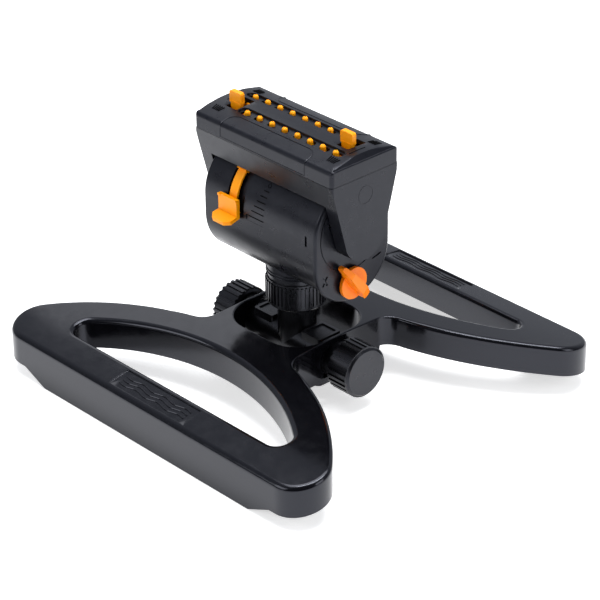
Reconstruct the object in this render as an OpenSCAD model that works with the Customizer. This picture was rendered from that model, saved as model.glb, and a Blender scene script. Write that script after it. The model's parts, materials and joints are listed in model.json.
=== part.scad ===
// Oscillating lawn sprinkler on a sled base: a swinging head with two rows of tilting nozzles, a fixed
// drum that holds the water motor, and a tee pipe with a hose nut on one end and a cap on the other.
// X runs along the pipe and the head, Y runs from front (-) to back (+), Z is up.
// The origin is at the middle of the footprint, on the ground.

/* [Sled base] */
// Overall length of the base along the pipe
base_len = 282; // [276:1:290]
// Overall width of the base across its two loops
base_w = 262; // [258:1:266]
// Height of the base at the hub
hub_z = 42.5; // [42:0.5:43.5]
// How far the arched top falls from the hub to the outer bars
arch_drop = 13.8; // [12:0.2:15]
// Width of the outer straight bars
bar_w = 23.6; // [22:0.2:25]
// Wall thickness of the base moulding
base_wall = 2.6; // [2:0.1:3]

/* [Pipe and nuts] */
// Height of the pipe's axis above the ground
pipe_z = 26; // [25.5:0.1:26.5]
// Outer radius of the pipe and riser
pipe_r = 12.5; // [12:0.1:12.6]
// Outer radius of the hose nut and the end cap
nut_r = 17; // [16.6:0.1:17.4]
// Number of grip ribs on the hose nut and the end cap
nut_ribs = 26; // [20:1:30]
// Bore radius of the hose thread
hose_r = 13.3; // [13.2:0.05:13.4]
// Outer radius of the collar nut
collar_r = 20; // [19.5:0.1:20.5]
// Number of grip ribs on the collar nut
collar_ribs = 44; // [36:1:52]

/* [Drum] */
// Height of the swing axis
pivot_z = 122; // [121.5:0.1:122.5]
// Outer radius of the drum
drum_r = 31.5; // [31.2:0.1:31.6]
// Half length of the drum between its end covers
drum_half = 49; // [48.8:0.1:49]
// Wall thickness of the drum
drum_wall = 2.5; // [2:0.1:2.8]

/* [Head] */
// Length of the head along the swing axis
head_len = 124; // [123:0.5:126]
// Width of the head at the seam below its cap
head_w = 56; // [55:0.5:57]
// Height of the seam between the cap and the shell
seam_z = 162.5; // [162.3:0.1:162.7]
// Height of the crowned top of the cap
head_top = 177; // [176.8:0.1:177.2]
// Wall thickness of the head shell
head_wall = 2.3; // [2:0.1:2.5]

/* [Nozzles] */
// Distance between neighbouring nozzles in a row
pitch = 11.3; // [11.2:0.1:11.4]
// Distance of each row from the middle of the head
row_y = 9.8; // [9.6:0.1:10]
// Shift of the front row toward +X, and of the back row toward -X
row_shift = 7; // [6.8:0.1:7.1]
// Outer radius of a nozzle
nozzle_r = 1.85; // [1.7:0.05:1.9]
// Tilt of a nozzle at the very end of a row when its tab is fully slid
tilt_max = 14; // [12:0.5:14]
// Travel of the width tabs
tab_travel = 8; // [7:0.5:8]

/* [Range tabs] */
// Width of the strap that carries each range tab
strap_w = 6.8; // [6.4:0.1:7.2]
// Angle from the top of the drum at which each strap ends
strap_top = 40; // [39:0.5:42]

/* [Hidden] */
$fn = 96;

black = "#1d1d20";
dark = "#2b2b2f";
orange = "#ff9a1e";
steel = "#a8adb3";
rubber = "#141414";
grey = "#6d7076";

eps = 0.01;
reach = 320;

// Base: two bow-shaped loops back to back, each bounded by a large arc and a straight outer bar.
arch_r = (pow(base_w / 2, 2) + pow(arch_drop, 2)) / (2 * arch_drop);
arch_z = hub_z - arch_r;
skirt_depth = 20.5;
bow_y = 224.5;
tip_r = 19.6;
bow_r = tip_r + norm([base_len / 2 - tip_r, bow_y - base_w / 2 + tip_r]);
bow_w = 22.5;
edge_y = base_w / 2;
hole_r = bow_r - bow_w;
hole_edge = edge_y - bar_w;
hole_corner = 8.5;
hub_x = 38;
waist_r = 12;
waist_x = hub_x + waist_r;
waist_y = bow_y - sqrt(pow(bow_r + waist_r, 2) - pow(waist_x, 2));
well_x = 36;
well_y = 34;
well_corner = 22;
keel_flat = 97;
keel_end = 120;
keel_wall = 3;
rib_reach = 18;
rib_low = 10;
panel_depth = 0.8;
clamp_gap = 0.2;
boss_y = 26;
boss_x = 29;
boss_r = 4.6;

// Tee pipe ends
neck_r = 10.7;
flange_r = 12.6;
nut_outer = 63.4;
nut_inner = 45.4;
end_thread_r = 13;
run_gap = 0.06;
face_gap = 0.25;

// Collar joint between the riser and the drum
collar_z0 = 54;
collar_z1 = 72.5;
lip_top = 75.4;
neck_top = 79.4;
riser_flange_r = 15.6;
riser_flange_z = 58;
riser_flange_t = 3;
seal_t = 2;
spigot_r = 16.2;

// Drum
flat_drop = 14;
lower_z = pivot_z - flat_drop;
inner_r = drum_r - drum_wall;
slot_x0 = -29;
slot_x1 = -13.5;
slot_floor_r = 28.2;
channel_r = 25.8;
channel_margin = 2.5;
slot_low_z = 117.5;
cover_t = 2;
cover_round = 1.9;
cover_low_z = lower_z - 3;

// Straps of the range tabs
strap_x0 = -27.5;
strap_r0 = 30;
strap_r1 = 31.2;
strap_low = 96;
nub_r1 = 32;
tab_plate_r = 33;
tab_x0 = -33.6;
tab_x1 = -16.8;
shelf_slope = 15;

// Gear train: one shared module, so all centre distances are equal
gear_m = 0.9;
wheel_z = 30;
pinion_z = 10;
gear_dist = gear_m * (wheel_z + pinion_z) / 2;
shaft_y = gear_dist / 2;
shaft_z = pivot_z - gear_dist * cos(30);
gear_t = 2.4;
shaft_r = 1.5;
pinion_hole_r = 5.6;
out_x0 = -46.2;
first_x0 = out_x0 + 3;
second_x0 = first_x0 + 3;
turbine_x0 = -32.5;

// Valve and knob
knob_y = -2.1;
knob_z = 87.2;
knob_r = 10.5;
knob_t = 2.4;
knob_lean = 37.6;
ridge_w = 3;
ridge_h = 9.5;
pointer_len = 17.5;
valve_r = 7.6;
cover_face = drum_half + cover_t;

// Head
side_x = head_len / 2;
arm_x = 52;
half_w = head_w / 2;
hub_r = 16.5;
head_clear_r = drum_r + 0.8;
skirt_z = 146;
seam_h = seam_z - pivot_z;
hub_angle = atan2(seam_h, half_w) - acos(hub_r / norm([half_w, seam_h]));
crown = 4.5;
crown_r = (pow(half_w, 2) + pow(crown, 2)) / (2 * crown);
crown_z = head_top - crown_r;
cap_wall = 3;
groove_depth = 1.4;
trunnion_r = 6.5;
trunnion_bore = 4.5;
duct_z = 155.95;

// Nozzles and the plates that tilt them
ball_z = 163;
ball_r = 2.9;
pin_r = 1;
pin_flat = 2.3;
pin_end = 2.7;
tip_z = 177.6;
plate_z = 168.2;
plate_t = 2.2;
plate_arm = plate_z + plate_t / 2 - ball_z;
end_x = row_shift + 3.5 * pitch;
slot_half = nozzle_r + 0.45;
blade_x = 45;
blade_y = 4.6;
blade_slot = [9.6, 15.5];
blade = [9, 4, 8.4];
paddle_w = 10.4;
blade_rest = -2.65;
blade_t = 3.4;
manifold_x = side_x - head_wall - 0.6;
manifold_y = 15;
manifold_top = 165.4;
manifold_low = 158.5;
seat_r = ball_r + 0.05;

function row_x(row, i) = (i - 3.5) * pitch - row * row_shift;
function tilt_of(x) = tilt_max * abs(x) / end_x;
function moves(x) = abs(x) > pitch / 2;

// Drawing helpers
module mirror_copy(v) {
  children();
  mirror(v) children();
}

module along_x(x0, x1) {
  translate([x0, 0, 0]) rotate([90, 0, 90]) linear_extrude(x1 - x0) children();
}

module rod_x(r, x0, x1, y = 0, z = 0) {
  translate([x0, y, z]) rotate([0, 90, 0]) cylinder(r = r, h = x1 - x0, $fn = r > 80 ? 720 : $fn);
}

module ring_x(r1, r0, x0, x1, y = 0, z = 0) {
  difference() {
    rod_x(r1, x0, x1, y, z);
    rod_x(r0, x0 - 1, x1 + 1, y, z);
  }
}

module box_between(a, b) {
  translate(a) cube(b - a);
}

// Rounded rectangle with exact corner arcs
module round_rect(w, d, r) {
  square([w - 2 * r, d], center = true);
  square([w, d - 2 * r], center = true);
  for (x = [-1, 1], y = [-1, 1]) translate([x * (w / 2 - r), y * (d / 2 - r)]) circle(r);
}

module stadium(len, r) {
  square([len - 2 * r, 2 * r], center = true);
  for (x = [-1, 1]) translate([x * (len / 2 - r), 0]) circle(r);
}

// Points along an arc, from angle a0 to a1
function arc(c, r, a0, a1, n) = [for (i = [0:n]) let (a = a0 + (a1 - a0) * i / n) c + r * [cos(a), sin(a)]];
function flip_x(pts) = [for (i = [len(pts) - 1:-1:0]) [-pts[i][0], pts[i][1]]];
function flip_y(pts) = [for (i = [len(pts) - 1:-1:0]) [pts[i][0], -pts[i][1]]];

// Centre of the round corner that touches both a bow arc of radius r and a straight edge
function corner_at(r, edge, corner) =
  let (cy = edge - corner) [sqrt(pow(r - corner, 2) - pow(bow_y - cy, 2)), cy];
function toward(c) = atan2(c[1] - bow_y, c[0]);

// One quarter of the plan of the base, moved inward by t: waist fillet, bow arc, then tip arc
function quarter(t) =
  let (tip = corner_at(bow_r, edge_y, tip_r), waist = [waist_x, waist_y], meet = toward(waist))
  concat(
    arc(waist, waist_r + t, 180, 180 + meet, 6),
    arc([0, bow_y], bow_r - t, meet, toward(tip), 20),
    arc(tip, tip_r - t, toward(tip), 90, 14));

// Loop opening, grown outward by t
function loop_hole(t) =
  let (c = corner_at(hole_r, hole_edge, hole_corner),
    half = concat(arc([0, bow_y], hole_r + t, -89, toward(c), 20), arc(c, hole_corner + t, toward(c), 90, 12)))
  concat(half, flip_x(half));

module base_plan(t = 0) {
  right = concat(flip_y(quarter(t)), quarter(t));
  difference() {
    polygon(concat(right, flip_x(right)));
    polygon(loop_hole(t));
    polygon(flip_y(loop_hole(t)));
  }
}

module arch(depth) {
  rod_x(arch_r - depth, -reach / 2, reach / 2, 0, arch_z);
}

module keel_profile() {
  polygon([[-keel_end, 10], [-keel_flat, 0], [keel_flat, 0], [keel_end, 10], [keel_end, 18], [-keel_end, 18]]);
}

// Straight keel along the outer edge of one bar, stiffened by a few cross ribs
module keel() {
  translate([0, edge_y, 0]) rotate([90, 0, 0]) linear_extrude(keel_wall) keel_profile();
  for (x = [-keel_flat, -keel_flat / 2, 0, keel_flat / 2, keel_flat])
    box_between([x - 1.5, edge_y - rib_reach, rib_low], [x + 1.5, edge_y - 1, 24]);
}

module sled_base() {
  color(black) difference() {
    union() {
      difference() {
        intersection() {
          linear_extrude(hub_z + 1) base_plan();
          arch(0);
        }
        arch(skirt_depth);
        intersection() {
          translate([0, 0, -1]) linear_extrude(hub_z + 2) base_plan(base_wall);
          arch(base_wall);
        }
      }
      // rim of the well, standing down around the pipe
      intersection() {
        difference() {
          translate([0, 0, 14]) linear_extrude(28) round_rect(2 * hub_x, 2 * well_y + 5, well_corner + 1.5);
          translate([0, 0, 13]) linear_extrude(30) round_rect(2 * well_x, 2 * well_y, well_corner);
        }
        arch(0);
      }
      mirror_copy([0, 1, 0]) keel();
      for (x = [-1, 1]) translate([x * boss_x, x * boss_y, 14]) cylinder(r = boss_r, h = hub_z - 18);
      for (x = [-1, 1]) box_between([x * boss_x - 1.2, x > 0 ? boss_y : -well_y - 1, 14.1],
        [x * boss_x + 1.2, x > 0 ? well_y + 1 : -boss_y, 24]);
    }
    // well opening through the hub
    translate([0, 0, 24.2]) linear_extrude(hub_z) round_rect(2 * well_x, 2 * well_y, well_corner);
    // notches that drop over the pipe
    rod_x(pipe_r + 0.4, -hub_x - 1, hub_x + 1, 0, pipe_z);
    box_between([-hub_x - 1, -pipe_r - 0.4, 0], [hub_x + 1, pipe_r + 0.4, pipe_z]);
    for (x = [-1, 1]) translate([x * boss_x, x * boss_y, 10]) cylinder(r = 1.6, h = 12);
    // recessed panels on both outer bars
    for (y = [-1, 1]) difference() {
      translate([0, y * 119.2, 20]) linear_extrude(30) round_rect(70, 15.5, 1.5);
      arch(panel_depth);
    }
  }
}

// Tee: straight pipe, riser, end fittings and two key frames that seat in the hub
module tee_manifold() {
  color(dark) difference() {
    union() {
      rod_x(pipe_r, -nut_inner + face_gap, nut_inner - face_gap, 0, pipe_z);
      rod_x(neck_r, -51, 0, 0, pipe_z);
      rod_x(flange_r, -53.4, -50.9, 0, pipe_z);
      rod_x(end_thread_r, 40.5, 57.6, 0, pipe_z);
      translate([0, 0, pipe_z]) cylinder(r = pipe_r, h = riser_flange_z - pipe_z + 1);
      translate([0, 0, riser_flange_z]) cylinder(r = riser_flange_r, h = riser_flange_t);
      for (s = [-1, 1]) translate([s * 22, 0, 32]) linear_extrude(7.6) round_rect(17, 19, 1.5);
    }
    rod_x(9, -54, 56, 0, pipe_z);
    translate([0, 0, pipe_z]) cylinder(r = 9, h = 40);
    for (s = [-1, 1]) translate([s * 22, 0, 38.6]) linear_extrude(2) round_rect(13, 15, 1);
  }
}

// Saddle screwed up under the hub to hold the pipe
module pipe_clamp() {
  color(dark) difference() {
    translate([0, 0, 9.5]) linear_extrude(4.5 - clamp_gap) union() {
      round_rect(2 * hub_x - 6, 30, 4);
      for (x = [-1, 1]) translate([x * boss_x, x * boss_y / 2]) square([2 * boss_r, boss_y], center = true);
      for (x = [-1, 1]) translate([x * boss_x, x * boss_y]) circle(boss_r);
    }
    rod_x(pipe_r + clamp_gap, -hub_x, hub_x, 0, pipe_z);
    for (x = [-1, 1]) translate([x * boss_x, x * boss_y, 8]) cylinder(r = 2, h = 10);
  }
}

module clamp_screw(s) {
  color(steel) translate([s * boss_x, s * boss_y, 0]) difference() {
    union() {
      translate([0, 0, 7.2]) cylinder(r = 3.4, h = 2.2);
      translate([0, 0, 9.3]) cylinder(r = 1.5, h = 11);
    }
    for (a = [0, 90]) rotate(a) translate([-2, -0.4, 7]) cube([4, 0.8, 1.3]);
  }
}

module hose_washer() {
  color(rubber) ring_x(hose_r - 0.4, 8, -55.9, -53.45, 0, pipe_z);
}

// Domed strainer that sits in the pipe behind the washer
module filter_screen() {
  color(steel) translate([0, 0, pipe_z]) rotate([0, 90, 0]) difference() {
    union() {
      translate([0, 0, -53.3]) cylinder(r = 8.7, h = 1);
      translate([0, 0, -52.6]) cylinder(r1 = 7.8, r2 = 5, h = 9);
    }
    translate([0, 0, -54]) cylinder(r = 7, h = 2);
    translate([0, 0, -52.7]) cylinder(r1 = 7.2, r2 = 4.4, h = 8.4);
    for (a = [0:45:315]) rotate(a) translate([3, -0.6, -50]) cube([10, 1.2, 5]);
  }
}

module riser_seal() {
  color(rubber) translate([0, 0, riser_flange_z + riser_flange_t + 0.05]) difference() {
    cylinder(r = 14.5, h = seal_t - 0.1);
    translate([0, 0, -1]) cylinder(r = 10.5, h = seal_t + 2);
  }
}

// Ribbed sleeve along Z, from z = 0
module ribbed_sleeve(r, h, ribs, depth) {
  rib_w = PI * (r - depth) / ribs;
  cylinder(r = r - depth, h = h);
  intersection() {
    cylinder(r = r, h = h);
    for (i = [0:ribs - 1]) rotate(i * 360 / ribs) translate([r - depth - 1, -rib_w / 2, 0])
      cube([depth + 2, rib_w, h]);
  }
}

module collar_nut() {
  color(black) difference() {
    union() {
      translate([0, 0, collar_z0 + 1.2]) cylinder(r = collar_r - 0.8, h = collar_z1 - collar_z0 - 1.2);
      translate([0, 0, collar_z0 + 3]) ribbed_sleeve(collar_r, collar_z1 - collar_z0 - 4.4, collar_ribs, 0.8);
      translate([0, 0, collar_z0]) cylinder(r1 = collar_r - 2, r2 = collar_r - 0.8, h = 1.3);
      translate([0, 0, collar_z1 - eps]) cylinder(r = collar_r - 1.6, h = lip_top - collar_z1);
    }
    translate([0, 0, riser_flange_z - face_gap]) cylinder(r = spigot_r + run_gap, h = 30);
    translate([0, 0, collar_z0 - 1]) cylinder(r = pipe_r + run_gap, h = 10);
  }
}

module hose_nut() {
  color(black) difference() {
    union() {
      translate([-nut_outer + 1, 0, pipe_z]) rotate([0, 90, 0])
        ribbed_sleeve(nut_r, nut_outer - nut_inner - 2, nut_ribs, 1);
      translate([-nut_outer, 0, pipe_z]) rotate([0, 90, 0]) cylinder(r1 = nut_r - 2, r2 = nut_r - 1, h = 1.1);
      translate([-nut_inner - 1.1, 0, pipe_z]) rotate([0, 90, 0])
        cylinder(r1 = nut_r - 1, r2 = nut_r - 2.5, h = 1.1);
    }
    rod_x(hose_r, -nut_outer - 1, -56, 0, pipe_z);
    rod_x(hose_r - 0.25, -57, -50.6, 0, pipe_z);
    rod_x(neck_r + run_gap, -52, -40, 0, pipe_z);
  }
}

module end_cap() {
  color(black) difference() {
    union() {
      translate([nut_inner, 0, pipe_z]) rotate([0, 90, 0])
        ribbed_sleeve(nut_r, nut_outer - nut_inner - 2, nut_ribs, 1);
      translate([nut_outer - 2.1, 0, pipe_z]) rotate([0, 90, 0])
        cylinder(r1 = nut_r, r2 = nut_r - 2, h = 2.1);
      translate([nut_outer - 2.2, 0, pipe_z]) rotate([0, 90, 0]) cylinder(r = nut_r, h = 0.8);
    }
    rod_x(end_thread_r + run_gap, nut_inner - 1, 59.8, 0, pipe_z);
  }
}

module cap_washer() {
  color(rubber) rod_x(end_thread_r - 0.2, 57.8, 59.8, 0, pipe_z);
}

// Outline of the drum: two circles one above the other, joined by flats
module drum_outline(r) {
  translate([0, pivot_z]) circle(r);
  translate([0, lower_z]) circle(r);
  translate([-r, lower_z]) square([2 * r, flat_drop]);
}

// Same outline with its end edge rounded toward +X, from x = 0 to t
module round_end(r, t, edge, low_z) {
  for (z = [pivot_z, low_z]) translate([0, 0, z]) rotate([0, 90, 0]) rotate_extrude()
    round_step(r, t, edge);
  translate([0, 0, low_z]) linear_extrude(pivot_z - low_z) mirror_copy([0, 1]) rotate(-90) mirror([1, 0])
    round_step(r, t, edge);
}

module round_step(r, t, edge) {
  square([r - edge, t]);
  square([r, t - edge + eps]);
  translate([r - edge, t - edge]) intersection() {
    circle(edge);
    square(edge + 1);
  }
}

module body_shell() {
  color(dark) difference() {
    union() {
      along_x(-drum_half, drum_half) drum_outline(drum_r);
      translate([0, 0, lip_top + face_gap]) cylinder(r = collar_r - 1, h = neck_top - lip_top);
      translate([0, 0, riser_flange_z + riser_flange_t + seal_t]) cylinder(r = spigot_r, h = 16);
      translate([0, 0, neck_top - 2]) cylinder(r = collar_r - 1, h = 6);
    }
    difference() {
      along_x(-drum_half - 1, drum_half + 1) drum_outline(inner_r);
      // raised lining that carries the straps
      intersection() {
        ring_x(inner_r + 1, channel_r, slot_x0 - channel_margin, slot_x1 + channel_margin, 0, pivot_z);
        box_between([-drum_half, -drum_r, 113], [drum_half, drum_r, pivot_z + drum_r]);
      }
      translate([0, 0, 60]) cylinder(r = 13, h = 19.2);
    }
    // slot for the straps, over the top from front to back
    intersection() {
      ring_x(drum_r + 5, slot_floor_r, slot_x0, slot_x1, 0, pivot_z);
      box_between([slot_x0, -drum_r - 5, slot_low_z], [slot_x1, drum_r + 5, pivot_z + drum_r + 5]);
    }
    // short mark line beside the knob end
    box_between([41.8, -drum_r - 1, 118.5], [43.6, -drum_r + 0.9, 125.5]);
    translate([0, 0, 50]) cylinder(r = 9, h = 40);
  }
}

module end_cover(low_z) {
  difference() {
    union() {
      translate([drum_half + 0.1, 0, 0]) round_end(drum_r, cover_t - 0.1, cover_round, low_z);
      along_x(drum_half - 3, drum_half + 0.5) drum_outline(inner_r - 0.1);
    }
    along_x(drum_half - 4, drum_half - 0.4) drum_outline(inner_r - 2.2);
    // ring groove round the pivot
    difference() {
      rod_x(27.3, cover_face - 0.5, cover_face + 1, 0, pivot_z);
      rod_x(26.6, cover_face - 1, cover_face + 2, 0, pivot_z);
    }
  }
}

module left_end_cover() {
  color(dark) difference() {
    union() {
      mirror([1, 0, 0]) end_cover(lower_z);
      rod_x(9, -drum_half - 0.5, -drum_half + 1.8, 0, pivot_z);
      for (s = [-1, 1]) rod_x(3.4, -drum_half - 0.5, -drum_half + 2, s * shaft_y, shaft_z);
    }
    rod_x(5 + run_gap, -60, -40, 0, pivot_z);
    for (s = [-1, 1]) rod_x(shaft_r + 0.02, -drum_half - 0.2, -40, s * shaft_y, shaft_z);
  }
}

module right_end_cover() {
  color(dark) difference() {
    union() {
      end_cover(cover_low_z);
      rod_x(9.5, drum_half - 5, drum_half + 0.5, 0, pivot_z);
      rod_x(6, drum_half - 5, drum_half + 0.5, knob_y, knob_z);
    }
    rod_x(trunnion_r + run_gap, 40, 60, 0, pivot_z);
    rod_x(3 + run_gap, 40, 60, knob_y, knob_z);
    // closed-tap mark and slit on the face
    translate([cover_face, -23.5, 94.5]) for (a = [-33, 33]) rotate([a, 0, 0])
      cube([1.2, 1.4, 7.2], center = true);
    translate([cover_face, 20.5, 97]) rotate([14, 0, 0]) cube([1.6, 7.5, 1.2], center = true);
  }
}

// Gear with straight-sided teeth that carry a generous running gap
module gear(teeth, t, phase = 0) {
  r = gear_m * teeth / 2;
  root = r - 1.25 * gear_m;
  tip = r + 0.85 * gear_m;
  step = 360 / teeth;
  points = [for (i = [0:teeth - 1]) each [
    root * [cos((i - 0.27) * step), sin((i - 0.27) * step)],
    r * [cos((i - 0.19) * step), sin((i - 0.19) * step)],
    tip * [cos((i - 0.09) * step), sin((i - 0.09) * step)],
    tip * [cos((i + 0.09) * step), sin((i + 0.09) * step)],
    r * [cos((i + 0.19) * step), sin((i + 0.19) * step)],
    root * [cos((i + 0.27) * step), sin((i + 0.27) * step)]]];
  rotate([90, 0, 90]) rotate(phase) linear_extrude(t) polygon(points);
}

// Phases, measured in the plane across the shafts, that put a tooth of one gear in a gap of the next
front_angle = atan2(shaft_z - pivot_z, -shaft_y);
pinion_step = 360 / pinion_z;

module drive_gear() {
  color(grey) {
    translate([out_x0, 0, pivot_z]) gear(wheel_z, gear_t, front_angle);
    rod_x(5, out_x0 - 14, out_x0 + eps, 0, pivot_z);
  }
}

// Compound gear: wheel and pinion side by side on one shaft
module compound(y, wheel_x, pinion_x, wheel_phase, pinion_phase) {
  color("white") difference() {
    union() {
      translate([wheel_x, y, shaft_z]) gear(wheel_z, gear_t, wheel_phase);
      translate([pinion_x, y, shaft_z]) gear(pinion_z, abs(wheel_x - pinion_x) + eps, pinion_phase);
    }
    rod_x(shaft_r + run_gap, -60, 0, y, shaft_z);
  }
}

// Front pinion meets the drive gear, and its wheel meets the back pinion
module first_gear() {
  compound(-shaft_y, first_x0, out_x0, 0, front_angle + 180 + pinion_step / 2);
}

module second_gear() {
  compound(shaft_y, second_x0, first_x0, 0, 180 + pinion_step / 2);
}

// Turbine: a pinion that the back wheel drives, and a bladed wheel
module turbine_rotor() {
  color("white") difference() {
    union() {
      translate([second_x0, -shaft_y, shaft_z]) gear(pinion_z, turbine_x0 - second_x0 + 5, pinion_step / 2);
      rod_x(5, turbine_x0 + 3, turbine_x0 + 13, -shaft_y, shaft_z);
      translate([turbine_x0 + 4, -shaft_y, shaft_z]) rotate([0, 90, 0]) for (a = [0:36:324]) rotate(a)
        translate([4.5, -0.6, 0]) cube([7.5, 1.2, 8]);
      rod_x(12, turbine_x0 + 3.4, turbine_x0 + 4.4, -shaft_y, shaft_z);
    }
    rod_x(shaft_r + run_gap, -60, 0, -shaft_y, shaft_z);
  }
}

module gear_shaft(y, x1) {
  color(steel) rod_x(shaft_r, -drum_half + 0.05, x1, y, shaft_z);
}

// Bearing plate between the gears and the turbine
module gear_plate() {
  color(dark) difference() {
    along_x(turbine_x0, turbine_x0 + 2) intersection() {
      drum_outline(inner_r - 0.15);
      translate([-drum_r, 80]) square([2 * drum_r, 32.5]);
    }
    rod_x(pinion_hole_r, -60, 0, -shaft_y, shaft_z);
    rod_x(shaft_r + 0.02, -60, 0, shaft_y, shaft_z);
  }
}

// Cup round the turbine, with two jets that face opposite ways
module turbine_case() {
  color(grey) difference() {
    union() {
      rod_x(14.4, turbine_x0 + 2.2, turbine_x0 + 15, -shaft_y, shaft_z);
      rod_x(4, turbine_x0 + 14, turbine_x0 + 18, -shaft_y, shaft_z);
    }
    rod_x(12.8, turbine_x0 + 2, turbine_x0 + 13.5, -shaft_y, shaft_z);
    rod_x(shaft_r + 0.02, -60, turbine_x0 + 17, -shaft_y, shaft_z);
    for (s = [-1, 1]) translate([turbine_x0 + 9, -shaft_y + s * 8, shaft_z - 16]) cylinder(r = 1.4, h = 10);
    translate([turbine_x0 + 9, -shaft_y, shaft_z + 5]) rotate([-45, 0, 0]) cylinder(r = 3, h = 14);
  }
}

// Fixed barrel that the valve plug turns in, fed from the riser
module valve_body() {
  color(grey) difference() {
    union() {
      rod_x(valve_r, -9, 24, knob_y, knob_z);
      translate([0, 0, 79.5]) cylinder(r = 7.5, h = 8);
    }
    rod_x(6 + run_gap, -7, 25, knob_y, knob_z);
    translate([0, knob_y, 79]) cylinder(r = 4, h = 8);
    translate([0, knob_y, knob_z]) cylinder(r = 4, h = 12);
  }
}

module valve_plug() {
  color("white") difference() {
    union() {
      rod_x(6, -6.8, 20, knob_y, knob_z);
      rod_x(3, 19, cover_face + 1.4, knob_y, knob_z);
    }
    translate([0, knob_y, knob_z - 10]) cylinder(r = 3.6, h = 20);
    translate([14, knob_y, knob_z]) rotate([0, 90, 0]) difference() {
      cylinder(r = 8, h = 2.2);
      translate([0, 0, -1]) cylinder(r = 4.6, h = 5);
    }
  }
}

module knob_seal() {
  color(rubber) ring_x(6, 4.7, 14.2, 16, knob_y, knob_z);
}

// Tube from the valve to the hollow trunnion
module water_tube() {
  color(grey) difference() {
    union() {
      rod_x(9, -6, 33, 0, pivot_z);
      translate([0, knob_y, knob_z + valve_r + 0.2]) cylinder(r = 5.6, h = pivot_z - knob_z - 14);
    }
    rod_x(trunnion_r + run_gap, 22, 34, 0, pivot_z);
    rod_x(4.5, -4, 30, 0, pivot_z);
    translate([0, knob_y, knob_z + 8]) cylinder(r = 4, h = pivot_z - knob_z - 8);
  }
}

// Disc with a thin ridge across it: the long end is the pointer
module flow_knob() {
  color(orange) translate([cover_face + 1.4, knob_y, knob_z]) {
    rotate([0, 90, 0]) cylinder(r = knob_r, h = knob_t);
    rotate([knob_lean, 0, 0]) difference() {
      rotate([90, 0, 90]) linear_extrude(ridge_h) union() {
        polygon([[-ridge_w, -knob_r], [ridge_w, -knob_r], [ridge_w, 3], [1.8, pointer_len], [-1.8, pointer_len],
          [-ridge_w, 3]]);
        translate([0, -knob_r]) circle(ridge_w);
        translate([0, pointer_len]) circle(1.8);
      }
      // outer edge falls toward both ends
      translate([ridge_h + 2, 0, -14.5]) rotate([0, 24, 0]) cube([12, 20, 20], center = true);
      translate([ridge_h + 4, 0, 19]) rotate([0, -30, 0]) cube([14, 20, 22], center = true);
      translate([-0.1, -10, knob_r + 1]) cube([1.2, 20, 20]);
    }
  }
}

// Strap in the drum's slot, with a finger tab outside and a stop nub under the head's edge
module range_tab() {
  x1 = strap_x0 + strap_w;
  color(orange) difference() {
    union() {
      arc_band(strap_r0, strap_r1, strap_x0, x1, strap_top, strap_low);
      arc_band(slot_floor_r + 0.4, nub_r1, strap_x0 - 1.2, x1, strap_top, strap_top + 5.5);
      // plate just proud of the drum, tied to the strap through the slot
      box_between([tab_x0, -tab_plate_r - 1.6, 116], [tab_x1, -tab_plate_r + 1.1, 129]);
      box_between([strap_x0, -tab_plate_r + 1, 118.5], [x1, -strap_r0 - 0.2, 128]);
      // finger shelf that slopes down and away
      translate([0, -tab_plate_r + 1.1, 116]) rotate([shelf_slope, 0, 0]) linear_extrude(2.6) polygon([
        [tab_x0, 0], [tab_x1, 0], [tab_x1, -7.5], [tab_x1 - 4, -10.5], [tab_x0 + 3, -10.5], [tab_x0 - 1, -6.5]]);
      for (x = [tab_x0, tab_x1 - 1.6]) box_between([x, -tab_plate_r - 2.2, 127.6], [x + 1.6, -tab_plate_r, 129.3]);
    }
    rod_x(drum_r + 0.35, -60, strap_x0 - 1.3, 0, pivot_z);
    rod_x(drum_r + 0.35, x1 - 0.01, 0, 0, pivot_z);
    box_between([-60, -drum_r - 0.35, 90], [strap_x0, 0, pivot_z]);
    box_between([x1, -drum_r - 0.35, 90], [0, 0, pivot_z]);
  }
}

// Part of a tube about the swing axis, from angle a0 to a1, measured from the top toward the front
module arc_band(r0, r1, x0, x1, a0, a1) {
  far = 60;
  intersection() {
    ring_x(r1, r0, x0, x1, 0, pivot_z);
    translate([x0 - 1, 0, pivot_z]) rotate([90, 0, 90]) linear_extrude(x1 - x0 + 2) polygon([
      [0, 0], far * [-sin(a0), cos(a0)], far * [-sin((a0 + a1) / 2), cos((a0 + a1) / 2)] * 1.3,
      far * [-sin(a1), cos(a1)]]);
  }
}

module front_range_tab() {
  range_tab();
}

module rear_range_tab() {
  mirror([0, 1, 0]) range_tab();
}

// Rocker under the manifold: its finger hangs in the slot between the two stop nubs
module trip_lever() {
  color("white") {
    rod_x(1.1, -33.4, -9.6, 0, 156.3);
    box_between([-27, -1.4, 151.3], [-19.2, 1.4, 157]);
    box_between([-30.4, -1.2, 155.2], [-13, 1.2, 157]);
  }
}

// Side outline of the head below its seam: a wedge that ends in a round hub
module arm_outline(t = 0) {
  top = half_w - t * 1.05;
  translate([0, pivot_z]) polygon(concat([[-top, seam_h + eps]],
    arc([0, 0], hub_r - t, -180 - hub_angle, hub_angle, 36), [[top, seam_h + eps]]));
}

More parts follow.
